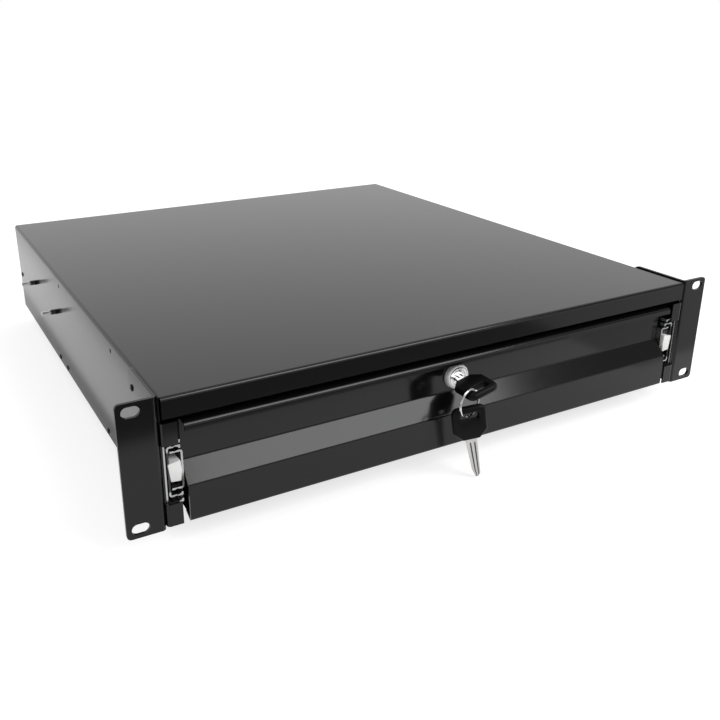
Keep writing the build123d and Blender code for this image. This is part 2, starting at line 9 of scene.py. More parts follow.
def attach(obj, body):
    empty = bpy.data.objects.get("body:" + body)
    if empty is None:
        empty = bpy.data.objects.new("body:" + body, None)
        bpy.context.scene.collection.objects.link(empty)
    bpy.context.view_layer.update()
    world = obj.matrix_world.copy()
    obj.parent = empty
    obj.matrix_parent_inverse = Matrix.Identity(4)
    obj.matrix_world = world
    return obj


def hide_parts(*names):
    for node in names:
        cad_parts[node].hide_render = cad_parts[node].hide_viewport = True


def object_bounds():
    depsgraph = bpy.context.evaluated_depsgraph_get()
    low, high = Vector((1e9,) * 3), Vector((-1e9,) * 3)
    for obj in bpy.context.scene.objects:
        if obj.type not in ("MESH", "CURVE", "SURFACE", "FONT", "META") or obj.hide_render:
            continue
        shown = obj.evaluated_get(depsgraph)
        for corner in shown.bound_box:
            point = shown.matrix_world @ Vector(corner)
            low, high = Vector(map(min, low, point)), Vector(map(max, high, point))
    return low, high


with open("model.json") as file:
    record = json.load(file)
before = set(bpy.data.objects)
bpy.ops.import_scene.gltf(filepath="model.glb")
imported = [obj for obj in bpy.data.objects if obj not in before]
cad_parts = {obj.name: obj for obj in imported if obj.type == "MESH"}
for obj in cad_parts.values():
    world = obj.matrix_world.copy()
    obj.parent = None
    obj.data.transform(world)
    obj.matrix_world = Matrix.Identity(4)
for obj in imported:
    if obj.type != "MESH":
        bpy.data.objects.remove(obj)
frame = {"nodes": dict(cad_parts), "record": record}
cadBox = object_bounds()
nodes = frame["nodes"]
mm = 0.001
weldGap = 1e-7  # metres
fullTurn = 360.0  # degrees
print("frame loaded:", len(nodes), "nodes")

# Camera, as the photograph sees the drawer

camera = {
    "eye": (-0.3372, -0.4225, 0.2490),
    "forward": (0.4465, 0.8242, -0.3484),
    "right": (0.8784, -0.4779, -0.0049),
    "focalPixels": 837.7,
    "axisPixel": (323.9, 319.2),
    "imagePixels": 720.0,
    "sensor": 36.0,
    "clip": (0.01, 60.0),
}


def makeCamera(spec):
    data = bpy.data.cameras.new("camera")
    data.sensor_width = spec["sensor"]
    data.lens = spec["focalPixels"] / spec["imagePixels"] * data.sensor_width
    half = spec["imagePixels"] / 2
    data.shift_x = (half - spec["axisPixel"][0]) / spec["imagePixels"]
    data.shift_y = (spec["axisPixel"][1] - half) / spec["imagePixels"]
    data.clip_start, data.clip_end = spec["clip"]
    back = -Vector(spec["forward"]).normalized()
    across = Vector(spec["right"]).normalized()
    up = back.cross(across).normalized()
    across = up.cross(back)
    turned = Matrix((across, up, back)).transposed().to_4x4()
    obj = bpy.data.objects.new("camera", data)
    obj.matrix_world = Matrix.Translation(spec["eye"]) @ turned
    bpy.context.scene.collection.objects.link(obj)
    bpy.context.scene.camera = obj


makeCamera(camera)
print("camera set")

# Node helpers


def addNode(tree, kind, **values):
    node = tree.nodes.new(kind)
    for name, value in values.items():
        setattr(node, name, value)
    return node


def setInputs(node, **values):
    for name, value in values.items():
        node.inputs[name.replace("_", " ")].default_value = value


def addMath(tree, operation, first, second, clamp=False):
    node = addNode(tree, "ShaderNodeMath", operation=operation, use_clamp=clamp)
    for socket, value in zip(node.inputs, (first, second)):
        if isinstance(value, (int, float)):
            socket.default_value = value
        else:
            tree.links.new(value, socket)
    return node.outputs[0]


def addRange(tree, value, low, high, bottom=0.0, top=1.0, kind="SMOOTHSTEP"):
    node = addNode(tree, "ShaderNodeMapRange", interpolation_type=kind)
    setInputs(node, From_Min=low, From_Max=high, To_Min=bottom, To_Max=top)
    tree.links.new(value, node.inputs["Value"])
    return node.outputs["Result"]


def makeGroup(name, inputs, outputs):
    group = bpy.data.node_groups.new(name, "ShaderNodeTree")
    for label, kind, value in inputs:
        socket = group.interface.new_socket(label, in_out="INPUT", socket_type=kind)
        if value is not None:
            socket.default_value = value
    for label, kind in outputs:
        group.interface.new_socket(label, in_out="OUTPUT", socket_type=kind)
    start = group.nodes.new("NodeGroupInput")
    end = group.nodes.new("NodeGroupOutput")
    return group, start, end


def objectPoint(tree, stretch=(1, 1, 1), centre=(0, 0, 0)):
    coord = addNode(tree, "ShaderNodeTexCoord")
    mapping = addNode(tree, "ShaderNodeMapping")
    setInputs(mapping, Scale=stretch, Location=[-c * s for c, s in zip(centre, stretch)])
    tree.links.new(coord.outputs["Object"], mapping.inputs["Vector"])
    return mapping.outputs["Vector"]


# Shared effects: sprayed grain, drawn metal streaks and turned rings


def sprayGrainGroup():
    group, start, end = makeGroup(
        "sprayGrain",
        [("Vector", "NodeSocketVector", None), ("Scale", "NodeSocketFloat", 900.0),
         ("Low", "NodeSocketFloat", 0.15), ("High", "NodeSocketFloat", 0.18)],
        [("Height", "NodeSocketFloat"), ("Roughness", "NodeSocketFloat")])
    links = group.links
    fine = addNode(group, "ShaderNodeTexNoise")
    setInputs(fine, Detail=3.0, Roughness=0.55)
    spread = addNode(group, "ShaderNodeMapRange")
    setInputs(spread, From_Min=0.35, From_Max=0.65)
    links.new(start.outputs["Vector"], fine.inputs["Vector"])
    links.new(start.outputs["Scale"], fine.inputs["Scale"])
    links.new(fine.outputs["Fac"], spread.inputs["Value"])
    links.new(start.outputs["Low"], spread.inputs["To Min"])
    links.new(start.outputs["High"], spread.inputs["To Max"])
    links.new(fine.outputs["Fac"], end.inputs["Height"])
    links.new(spread.outputs["Result"], end.inputs["Roughness"])
    return group


metalInputs = [("Vector", "NodeSocketVector", None), ("Dark", "NodeSocketColor", (0.4, 0.4, 0.4, 1)),
               ("Light", "NodeSocketColor", (0.7, 0.7, 0.7, 1)), ("Low", "NodeSocketFloat", 0.2),
               ("High", "NodeSocketFloat", 0.4)]
metalOutputs = [("Color", "NodeSocketColor"), ("Height", "NodeSocketFloat"), ("Roughness", "NodeSocketFloat")]


def finishMetalGroup(group, start, end, height, blend):
    links = group.links
    mix = addNode(group, "ShaderNodeMix", data_type="RGBA")
    spread = addNode(group, "ShaderNodeMapRange")
    setInputs(spread, From_Min=0.3, From_Max=0.7)
    links.new(blend, mix.inputs["Factor"])
    links.new(start.outputs["Dark"], mix.inputs["A"])
    links.new(start.outputs["Light"], mix.inputs["B"])
    links.new(height, spread.inputs["Value"])
    links.new(start.outputs["Low"], spread.inputs["To Min"])
    links.new(start.outputs["High"], spread.inputs["To Max"])
    links.new(mix.outputs["Result"], end.inputs["Color"])
    links.new(height, end.inputs["Height"])
    links.new(spread.outputs["Result"], end.inputs["Roughness"])
    return group


def drawnStreakGroup():
    group, start, end = makeGroup("drawnStreak", metalInputs, metalOutputs)
    streak = addNode(group, "ShaderNodeTexNoise")
    setInputs(streak, Scale=1.0, Detail=4.0, Roughness=0.6)
    cloud = addNode(group, "ShaderNodeTexNoise")
    setInputs(cloud, Scale=0.06, Detail=2.0)
    for noise in (streak, cloud):
        group.links.new(start.outputs["Vector"], noise.inputs["Vector"])
    total = addMath(group, "ADD", streak.outputs["Fac"], cloud.outputs["Fac"])
    average = addMath(group, "MULTIPLY", total, 0.5, True)
    return finishMetalGroup(group, start, end, streak.outputs["Fac"], average)


# Rings run round the Y axis of the point that comes in
def turnedRingsGroup():
    group, start, end = makeGroup("turnedRings", metalInputs, metalOutputs)
    flat = addNode(group, "ShaderNodeVectorMath", operation="MULTIPLY")
    flat.inputs[1].default_value = (1, 0, 1)
    reach = addNode(group, "ShaderNodeVectorMath", operation="LENGTH")
    ring = addNode(group, "ShaderNodeTexNoise", noise_dimensions="1D")
    setInputs(ring, Scale=1.0, Detail=3.0, Roughness=0.6)
    group.links.new(start.outputs["Vector"], flat.inputs[0])
    group.links.new(flat.outputs["Vector"], reach.inputs[0])
    group.links.new(reach.outputs["Value"], ring.inputs["W"])
    return finishMetalGroup(group, start, end, ring.outputs["Fac"], ring.outputs["Fac"])


sprayGrain = sprayGrainGroup()
drawnStreak = drawnStreakGroup()
turnedRings = turnedRingsGroup()


def newMaterial(name):
    material = bpy.data.materials.new(name)
    material.use_nodes = True
    tree = material.node_tree
    return material, tree, tree.nodes["Principled BSDF"]


def addBump(tree, shader, height, strength, distance):
    bump = addNode(tree, "ShaderNodeBump")
    setInputs(bump, Strength=strength, Distance=distance)
    tree.links.new(height, bump.inputs["Height"])
    tree.links.new(bump.outputs["Normal"], shader.inputs["Normal"])


def mixColors(tree, factor, first, second):
    mix = addNode(tree, "ShaderNodeMix", data_type="RGBA")
    tree.links.new(factor, mix.inputs["Factor"])
    for label, value in (("A", first), ("B", second)):
        if isinstance(value, tuple):
            mix.inputs[label].default_value = (*value, 1)
        else:
            tree.links.new(value, mix.inputs[label])
    return mix.outputs["Result"]


def sprayedMaterial(name, spec):
    material, tree, shader = newMaterial(name)
    grain = addNode(tree, "ShaderNodeGroup", node_tree=sprayGrain)
    setInputs(grain, Scale=spec["grainScale"], Low=spec["glossLow"], High=spec["glossHigh"])
    tree.links.new(objectPoint(tree), grain.inputs["Vector"])
    tint = mixColors(tree, grain.outputs["Height"], spec["dark"], spec["light"])
    tree.links.new(tint, shader.inputs["Base Color"])
    tree.links.new(grain.outputs["Roughness"], shader.inputs["Roughness"])
    shader.inputs["IOR"].default_value = spec["ior"]
    shader.inputs["Specular IOR Level"].default_value = spec["shine"]
    addBump(tree, shader, grain.outputs["Height"], spec["bump"], spec["bumpDepth"])
    return material


def metalMaterial(name, spec, effect):
    material, tree, shader = newMaterial(name)
    streak = addNode(tree, "ShaderNodeGroup", node_tree=effect)
    setInputs(streak, Dark=(*spec["dark"], 1), Light=(*spec["light"], 1),
              Low=spec["glossLow"], High=spec["glossHigh"])
    point = objectPoint(tree, spec["stretch"], spec.get("centre", (0, 0, 0)))
    tree.links.new(point, streak.inputs["Vector"])
    color = streak.outputs["Color"]
    # Painted shade darkens the colour where the finish asks for it
    if "paintedShade" in spec:
        color = paintedShadeColor(tree, color, spec["paintedShade"])
    tree.links.new(color, shader.inputs["Base Color"])
    tree.links.new(streak.outputs["Roughness"], shader.inputs["Roughness"])
    shader.inputs["Metallic"].default_value = 1.0
    addBump(tree, shader, streak.outputs["Height"], spec["bump"], spec["bumpDepth"])
    return material


# Paints shade onto metal: darker within span of the centre, and before depth where that is given
def paintedShadeColor(tree, color, spec):
    coord = addNode(tree, "ShaderNodeTexCoord")
    split = addNode(tree, "ShaderNodeSeparateXYZ")
    tree.links.new(coord.outputs["Object"], split.inputs["Vector"])
    offset = addMath(tree, "SUBTRACT", split.outputs[spec["axis"]], spec["centre"])
    unshaded = addRange(tree, addMath(tree, "ABSOLUTE", offset, 0.0), *spec["span"])
    if "depth" in spec:
        unshaded = addMath(tree, "MAXIMUM", unshaded, addRange(tree, split.outputs["Y"], *spec["depth"]))
    return mixColors(tree, unshaded, spec["color"], color)


blackPaint = {"dark": (0.004, 0.004, 0.0042), "light": (0.006, 0.006, 0.0063), "ior": 1.36, "shine": 0.5,
              "glossLow": 0.13, "glossHigh": 0.16, "grainScale": 1400.0, "bump": 0.04, "bumpDepth": 0.00015}
# Painted shade: near-black with no shine, for sheets that stand in the drawer front's dark hollows
shadeBlack = {"dark": (0.003, 0.003, 0.003), "light": (0.005, 0.005, 0.005), "ior": 1.37, "shine": 0.0,
             "glossLow": 0.6, "glossHigh": 0.75, "grainScale": 900.0, "bump": 0.08, "bumpDepth": 0.00015}
blackPlastic = {"dark": (0.003, 0.003, 0.003), "light": (0.006, 0.006, 0.006), "ior": 1.45, "shine": 0.12,
                "glossLow": 0.34, "glossHigh": 0.44, "grainScale": 2600.0, "bump": 0.1, "bumpDepth": 0.0001}
whiteNylon = {"dark": (0.86, 0.86, 0.845), "light": (0.93, 0.93, 0.92), "ior": 1.5, "shine": 0.5,
              "glossLow": 0.36, "glossHigh": 0.5, "grainScale": 700.0, "bump": 0.06, "bumpDepth": 0.0001}
zincSteel = {"dark": (0.34, 0.345, 0.35), "light": (0.56, 0.565, 0.57), "stretch": (900, 40, 900),
             "glossLow": 0.2, "glossHigh": 0.38, "bump": 0.05, "bumpDepth": 0.0001}
# Painted shade: the middle members' webs turn near-black at their front ends, round the slide's centre line
webSteel = {**zincSteel, "paintedShade": {"axis": "Z", "centre": -0.00775, "span": (0.0125, 0.0145),
                                   "depth": (0.003, 0.006), "color": (0.05, 0.05, 0.052)}}
# Painted shade: each side screw is near-black from the case out to its thread's end, bright on the tip
screwSteel = {"dark": (0.42, 0.42, 0.43), "light": (0.66, 0.66, 0.67), "stretch": (300, 1400, 1400),
              "glossLow": 0.14, "glossHigh": 0.3, "bump": 0.04, "bumpDepth": 0.00008,
              "paintedShade": {"axis": "X", "centre": 0.0, "span": (0.2205, 0.2222), "color": (0.06, 0.06, 0.062)}}
bladeSteel = {"dark": (0.4, 0.395, 0.39), "light": (0.6, 0.595, 0.59), "stretch": (1500, 1500, 160),
              "glossLow": 0.2, "glossHigh": 0.34, "bump": 0.04, "bumpDepth": 0.00008}
# Painted shade: the blade's grooves take a near-black copy of the blade steel
grooveShadeSteel = {**bladeSteel, "dark": (0.05, 0.05, 0.048), "light": (0.11, 0.108, 0.105)}
brightMetal = {"dark": (0.6, 0.6, 0.61), "light": (0.78, 0.78, 0.79), "stretch": (500, 500, 500),
               "glossLow": 0.06, "glossHigh": 0.14, "bump": 0.02, "bumpDepth": 0.00005}
turnedMetal = {"dark": (0.54, 0.54, 0.55), "light": (0.74, 0.74, 0.75), "stretch": (3200, 3200, 3200),
               "centre": (0, 0, 0.0066), "glossLow": 0.2, "glossHigh": 0.32,
               "bump": 0.06, "bumpDepth": 0.00006}
lockMetal = {**turnedMetal, "dark": (0.64, 0.64, 0.65), "light": (0.84, 0.84, 0.85)}
# Painted shade in the lock face's ring line
ringShade = {**turnedMetal, "dark": (0.05, 0.05, 0.052), "light": (0.1, 0.1, 0.102)}
# Painted highlight: the lock's rounded rim is near-white rough metal, bright from every side
rimHighlightMetal = {**turnedMetal, "dark": (0.86, 0.86, 0.87), "light": (0.95, 0.95, 0.96),
             "glossLow": 0.7, "glossHigh": 0.82}

sprayedFinishes = {"blackPaint": blackPaint, "shadeBlack": shadeBlack, "blackPlastic": blackPlastic,
                   "whiteNylon": whiteNylon}
drawnFinishes = {"zincSteel": zincSteel, "webSteel": webSteel, "screwSteel": screwSteel,
                 "bladeSteel": bladeSteel, "grooveShadeSteel": grooveShadeSteel, "brightMetal": brightMetal}
turnedFinishes = {"turnedMetal": turnedMetal, "lockMetal": lockMetal, "ringShade": ringShade,
                  "rimHighlightMetal": rimHighlightMetal}

materials = {name: sprayedMaterial(name, spec) for name, spec in sprayedFinishes.items()}
materials |= {name: metalMaterial(name, spec, drawnStreak) for name, spec in drawnFinishes.items()}
materials |= {name: metalMaterial(name, spec, turnedRings) for name, spec in turnedFinishes.items()}

slotFinish = {"black_paint": "blackPaint", "zinc_steel": "zincSteel", "bright_metal": "brightMetal",
              "white_nylon": "whiteNylon", "black_plastic": "blackPlastic"}
nodeFinish = {"lock_plug": "turnedMetal", "slide_middle_left": "webSteel", "slide_middle_right": "webSteel"}

for part in frame["record"]["subparts"]:
    finish = nodeFinish.get(part["node"], slotFinish[part["material_slot"]])
    mesh = nodes[part["node"]].data
    mesh.materials.clear()
    mesh.materials.append(materials[finish])

# Mesh helpers, all in millimetres until the mesh is made


def shift(x, y, z):
    return Matrix.Translation((x, y, z))


def turn(degrees, axis):
    return Matrix.Rotation(math.radians(degrees), 4, axis)


def makeMesh(name, points, faces, place=Matrix(), sharpAngle=35.0, finishes=()):
    mesh = bpy.data.meshes.new(name)
    mesh.from_pydata([(place @ Vector(point)) * mm for point in points], [], faces)
    for polygon, finish in zip(mesh.polygons, finishes):
        polygon.material_index = finish
    shape = bmesh.new()
    shape.from_mesh(mesh)
    bmesh.ops.remove_doubles(shape, verts=shape.verts, dist=weldGap)
    bmesh.ops.dissolve_degenerate(shape, edges=shape.edges, dist=weldGap)
    bmesh.ops.recalc_face_normals(shape, faces=shape.faces)
    shape.to_mesh(mesh)
    shape.free()
    mesh.shade_smooth()
    mesh.set_sharp_from_angle(angle=math.radians(sharpAngle))
    return mesh


def addPiece(name, mesh, spec):
    obj = bpy.data.objects.new(name, mesh)
    bpy.context.scene.collection.objects.link(obj)
    if not mesh.materials:
        for finish in spec["finishes"]:
            mesh.materials.append(materials[finish])
    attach(obj, spec["body"])
    if spec["replaces"]:
        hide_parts(*spec["replaces"])
    print(name, "made with", len(mesh.polygons), "faces")


# Quads between rings of points; closed joins the last ring to the first
def ringFaces(count, sides, closed=False):
    faces = []
    for ring in range(count if closed else count - 1):
        here = ring * sides
        there = (ring + 1) % count * sides
        for side in range(sides):
            beside = (side + 1) % sides
            faces.append((here + side, here + beside, there + beside, there + side))
    return faces


# Turns (radius, along) points round the Y axis; a third value cuts flats at that half width
def turnedShape(profile, sides):
    points = []
    for radius, along, *flat in profile:
        for side in range(sides):
            angle = 2 * math.pi * side / sides
            x = radius * math.cos(angle)
            if flat:
                x = max(-flat[0], min(flat[0], x))
            points.append((x, along, radius * math.sin(angle)))
    return points, ringFaces(len(profile), sides, closed=True)


# Rounds each (x, y, radius) corner of an outline into a loop of points
def roundedLoop(corners, steps):
    loop = []
    for index, (x, y, radius) in enumerate(corners):
        here = Vector((x, y))
        before = (Vector(corners[index - 1][:2]) - here).normalized()
        after = (Vector(corners[(index + 1) % len(corners)][:2]) - here).normalized()
        half = before.angle(after) / 2
        middle = here + (before + after).normalized() * radius / math.sin(half)
        start = here + before * radius / math.tan(half) - middle
        end = here + after * radius / math.tan(half) - middle
        sweep = math.atan2(start.x * end.y - start.y * end.x, start.dot(end))
        for step in range(steps + 1):
            loop.append(middle + Matrix.Rotation(sweep * step / steps, 2) @ start)
    return loop


# Moves a loop that runs anticlockwise inwards, or outwards for a distance below zero
def insetLoop(loop, distance, leastMitre=0.3):
    moved = []
    for index, here in enumerate(loop):
        before = (here - loop[index - 1]).normalized()
        after = (loop[(index + 1) % len(loop)] - here).normalized()
        first = Vector((-before.y, before.x))
        second = Vector((-after.y, after.x))
        mitre = (first + second).normalized()
        moved.append(here + mitre * distance / max(leastMitre, mitre.dot(first)))
    return moved


# Geometry Nodes: one tree sets a shape on points, the other makes two rows of balls


def startTree(name, inputs):
    tree = bpy.data.node_groups.new(name, "GeometryNodeTree")
    keys = {}
    for label, kind in [("Geometry", "NodeSocketGeometry")] + inputs:
        keys[label] = tree.interface.new_socket(label, in_out="INPUT", socket_type=kind).identifier
    tree.interface.new_socket("Geometry", in_out="OUTPUT", socket_type="NodeSocketGeometry")
    return tree, tree.nodes.new("NodeGroupInput"), tree.nodes.new("NodeGroupOutput"), keys


def endTree(tree, start, end, instances):
    realize = addNode(tree, "GeometryNodeRealizeInstances")
    finish = addNode(tree, "GeometryNodeSetMaterial")
    tree.links.new(instances, realize.inputs["Geometry"])
    tree.links.new(realize.outputs["Geometry"], finish.inputs["Geometry"])
    tree.links.new(start.outputs["Finish"], finish.inputs["Material"])
    tree.links.new(finish.outputs["Geometry"], end.inputs["Geometry"])


def shapeOnPointsTree():
    tree, start, end, keys = startTree(
        "shapeOnPoints", [("Shape", "NodeSocketObject"), ("Size", "NodeSocketFloat"),
                          ("Finish", "NodeSocketMaterial")])
    shape = addNode(tree, "GeometryNodeObjectInfo", transform_space="ORIGINAL")
    facing = addNode(tree, "GeometryNodeInputNamedAttribute", data_type="FLOAT_VECTOR")
    setInputs(facing, Name="facing")
    rotation = addNode(tree, "FunctionNodeEulerToRotation")
    spread = addNode(tree, "GeometryNodeInstanceOnPoints")
    links = tree.links
    links.new(start.outputs["Shape"], shape.inputs["Object"])
    links.new(facing.outputs["Attribute"], rotation.inputs["Euler"])
    links.new(start.outputs["Geometry"], spread.inputs["Points"])
    links.new(shape.outputs["Geometry"], spread.inputs["Instance"])
    links.new(rotation.outputs["Rotation"], spread.inputs["Rotation"])
    links.new(start.outputs["Size"], spread.inputs["Scale"])
    endTree(tree, start, end, spread.outputs["Instances"])
    return tree, keys


def ballRowsTree():
    tree, start, end, keys = startTree(
        "ballRows", [("Count", "NodeSocketInt"), ("Radius", "NodeSocketFloat"), ("Low", "NodeSocketVector"),
                     ("High", "NodeSocketVector"), ("Pitch", "NodeSocketVector"),
                     ("Finish", "NodeSocketMaterial")])
    links = tree.links
    ball = addNode(tree, "GeometryNodeMeshIcoSphere")
    setInputs(ball, Subdivisions=3)
    smooth = addNode(tree, "GeometryNodeSetShadeSmooth")
    both = addNode(tree, "GeometryNodeJoinGeometry")
    spread = addNode(tree, "GeometryNodeInstanceOnPoints")
    for label in ("Low", "High"):
        row = addNode(tree, "GeometryNodeMeshLine")
        links.new(start.outputs["Count"], row.inputs["Count"])
        links.new(start.outputs[label], row.inputs["Start Location"])
        links.new(start.outputs["Pitch"], row.inputs["Offset"])
        links.new(row.outputs["Mesh"], both.inputs["Geometry"])
    links.new(start.outputs["Radius"], ball.inputs["Radius"])
    links.new(ball.outputs["Mesh"], smooth.inputs["Geometry"])
    links.new(both.outputs["Geometry"], spread.inputs["Points"])
    links.new(smooth.outputs["Geometry"], spread.inputs["Instance"])
    endTree(tree, start, end, spread.outputs["Instances"])
    return tree, keys


shapeOnPoints = shapeOnPointsTree()
ballRows = ballRowsTree()


# Runs a tree on a base mesh and gives back a plain mesh
def grownMesh(name, base, treeAndKeys, values):
    tree, keys = treeAndKeys
    holder = bpy.data.objects.new(name + "Holder", base)
    modifier = holder.modifiers.new("grow", "NODES")
    modifier.node_group = tree
    for label, value in values.items():
        modifier[keys[label]] = value
    bpy.context.scene.collection.objects.link(holder)
    seen = holder.evaluated_get(bpy.context.evaluated_depsgraph_get())
    mesh = bpy.data.meshes.new_from_object(seen)
    mesh.name = name
    holder.modifiers.remove(modifier)
    bpy.data.objects.remove(holder)
    return mesh


# Points on both case sides, with shapes facing outwards
def sidePoints(name, across, places):
    mesh = bpy.data.meshes.new(name + "Points")
    points = [(side * across * mm, y * mm, z * mm) for side in (1, -1) for y, z in places]
    mesh.from_pydata(points, [], [])
    facing = mesh.attributes.new("facing", "FLOAT_VECTOR", "POINT")
    for index, point in enumerate(points):
        facing.data[index].vector = (0, 0, 0 if point[0] > 0 else math.pi)
    return mesh


def addRepeated(name, shapeMesh, spec):
    shape = bpy.data.objects.new(name + "Shape", shapeMesh)
    bpy.context.scene.collection.objects.link(shape)
    values = {"Shape": shape, "Size": 1.0, "Finish": materials[spec["finishes"][0]]}
    mesh = grownMesh(name, sidePoints(name, spec["across"], spec["places"]), shapeOnPoints, values)
    bpy.data.objects.remove(shape)
    addPiece(name, mesh, spec)


# Screws that stand out of the case sides: countersunk head, shank, thread and smooth tip

sideScrews = {
    "across": 214.3, "places": [(284.4, 5.0), (377.7, 5.0)],
    "headRadius": 3.85, "headLength": 1.2, "shankRadius": 2.65, "shankEnd": 2.5,
    "crest": 2.45, "root": 1.95, "pitch": 1.25, "crestSlope": 2.6, "crestRound": 0.7, "threadEnd": 7.6,
    "tipGap": 0.1, "tipRadius": 1.9, "length": 14.4, "point": 0.5, "sides": 32, "ringStep": 0.125,
    "body": "case", "slot": "zinc_steel", "finishes": ["screwSteel"], "replaces": ["side_screws"],
}


def sideScrewMesh(spec):
    fixed = [(0.0, 0.0), (spec["headRadius"], 0.0), (spec["shankRadius"], spec["headLength"]),
             (spec["shankRadius"], spec["shankEnd"])]
    rings = [[(radius, along)] * spec["sides"] for radius, along in fixed]
    steps = int((spec["threadEnd"] - spec["shankEnd"]) / spec["ringStep"])
    for step in range(steps + 1):
        along = spec["shankEnd"] + step * spec["ringStep"]
        fade = min(1.0, (steps - step) * spec["ringStep"] / spec["pitch"])
        ring = []
        for side in range(spec["sides"]):
            phase = (along / spec["pitch"] - side / spec["sides"]) % 1.0
            slope = max(0.0, 1.0 - abs(phase - 0.5) * spec["crestSlope"])
            rise = slope ** spec["crestRound"] * fade
            ring.append((spec["root"] + (spec["crest"] - spec["root"]) * rise, along))
        rings.append(ring)
    tip = spec["tipRadius"]
    ends = [(tip, spec["threadEnd"] + spec["tipGap"]), (tip, spec["length"] - spec["point"]),
            (tip - spec["point"], spec["length"]), (0.0, spec["length"])]
    rings += [[(radius, along)] * spec["sides"] for radius, along in ends]
    points = []
    for ring in rings:
        for side, (radius, along) in enumerate(ring):
            angle = 2 * math.pi * side / spec["sides"]
            points.append((along, radius * math.cos(angle), radius * math.sin(angle)))
    return makeMesh("sideScrew", points, ringFaces(len(rings), spec["sides"]))


addRepeated("sideScrews", sideScrewMesh(sideScrews), sideScrews)

# Domed rivets with a sunk centre on the case sides, and cross-head screws on the ears

tieRivets = {
    "across": 216.7, "places": [(129.8, -38.5), (260.0, -38.5), (288.0, -38.5)], "depth": 3.6,
    "body": "case", "slot": "black_paint", "finishes": ["blackPaint"], "replaces": ["tie_rivets"],
}
rearRivets = {
    "across": 216.7, "places": [(450.2, -6.6)], "depth": 3.6,
    "body": "case", "slot": "black_paint", "finishes": ["blackPaint"], "replaces": ["rear_rivets"],
}
earScrews = {
    "across": 218.7, "places": [(y, z) for y in (15.0, 44.0) for z in (-31.4, 31.4)], "depth": 4.4,
    "crossReach": 1.15, "crossHalf": 0.28, "crossDepth": 0.55, "crossTaper": 0.8, "flatRadius": 1.5,
    "body": "case", "slot": "black_paint", "finishes": ["blackPaint"], "replaces": ["ear_screws"],
}
headShape = {
    "radius": 2.3, "height": 0.9, "rimShare": 0.2, "shank": 1.6, "sides": 32, "steps": 6,
    "dimple": 0.75, "dimpleDepth": 0.4, "dimpleEdge": 0.2, "dimpleDrop": 0.08, "dimpleSlope": 0.12,
}
alongX = turn(-90, "Z")


def domePoints(spec, innerRadius):
    points = []
    rim = spec["rimShare"]
    for step in range(spec["steps"] + 1):
        angle = math.pi / 2 * step / spec["steps"]
        radius = innerRadius + (spec["radius"] - innerRadius) * math.cos(angle)
        points.append((radius, spec["height"] * (rim + (1 - rim) * math.sin(angle))))
    return points


def headProfile(spec, depth, innerRadius):
    shank = [(0.0, -depth), (spec["shank"], -depth), (spec["shank"], 0.0), (spec["radius"], 0.0)]
    return shank + domePoints(spec, innerRadius)


def rivetMesh(spec, depth):
    dimple, height = spec["dimple"], spec["height"]
    sunk = height - spec["dimpleDepth"]
    profile = headProfile(spec, depth, dimple + spec["dimpleEdge"])
    profile += [(dimple, height - spec["dimpleDrop"]), (dimple - spec["dimpleSlope"], sunk), (0.0, sunk)]
    return makeMesh("rivet", *turnedShape(profile, spec["sides"]), alongX)


def crossHeadMesh(spec, screw):
    sides = spec["sides"]
    points, faces = turnedShape(headProfile(spec, screw["depth"], screw["flatRadius"]), sides)
    faces = faces[:-sides]  # leaves the top open for the cross
    rim = [Vector(point) for point in points[-sides:]]
    reach, half = screw["crossReach"], screw["crossHalf"]
    quarter = [(reach, -half), (reach, half), (half, half)]
    cross = []
    for step in range(4):
        angle = math.pi / 2 * step
        for x, z in quarter:
            cross.append((x * math.cos(angle) - z * math.sin(angle),
                          x * math.sin(angle) + z * math.cos(angle)))
    top, floor, taper = spec["height"], spec["height"] - screw["crossDepth"], screw["crossTaper"]
    upper = [Vector((x, top, z)) for x, z in cross]
    lower = [Vector((x * taper, floor, z * taper)) for x, z in cross]
    base = len(points)
    index = list(range(base - sides, base + len(cross)))
    flat = [[Vector((point.x, point.z, 0)) for point in loop] for loop in (rim, upper)]
    faces += [tuple(index[corner] for corner in triangle) for triangle in tessellate_polygon(flat)]
    faces += [tuple(base + corner for corner in face) for face in ringFaces(2, len(cross))]
    faces.append(tuple(range(base + len(cross), base + 2 * len(cross))))
    return makeMesh("crossHead", points + [tuple(point) for point in upper + lower], faces, alongX)


addRepeated("tieRivets", rivetMesh(headShape, tieRivets["depth"]), tieRivets)
addRepeated("rearRivets", rivetMesh(headShape, rearRivets["depth"]), rearRivets)
addRepeated("earScrews", crossHeadMesh(headShape, earScrews), earScrews)

# Full rows of slide balls, twelve to a row

outerRows = {"across": 208.7, "rise": 18.4, "body": "outer_cages", "node": "outer_balls"}
innerRows = {"across": 207.5, "rise": 14.4, "body": "inner_cages", "node": "inner_balls"}
ballRow = {"count": 12, "radius": 1.7, "start": 120.0, "length": 218.2, "level": -7.75}


def addBallRows(name, rows, row, side):
    pitch = row["length"] / row["count"]
    label = "left" if side < 0 else "right"
    ends = [Vector((side * rows["across"], row["start"] + pitch / 2, row["level"] + up * rows["rise"])) * mm
            for up in (-1, 1)]
    values = {"Count": row["count"], "Radius": row["radius"] * mm, "Low": ends[0], "High": ends[1],
              "Pitch": Vector((0, pitch * mm, 0)), "Finish": materials["brightMetal"]}
    base = bpy.data.meshes.new(name + "Base")
    mesh = grownMesh(name, base, ballRows, values)
    addPiece(name, mesh, {"body": rows["body"], "slot": "bright_metal",
                          "replaces": [rows["node"] + "_" + label]})


for rows, word in ((outerRows, "outerBalls"), (innerRows, "innerBalls")):
    addBallRows(word + "Left", rows, ballRow, -1)
    addBallRows(word + "Right", rows, ballRow, 1)

# Lock face and barrel, turned with a ring line in painted shade, a rim with a painted highlight and two flats

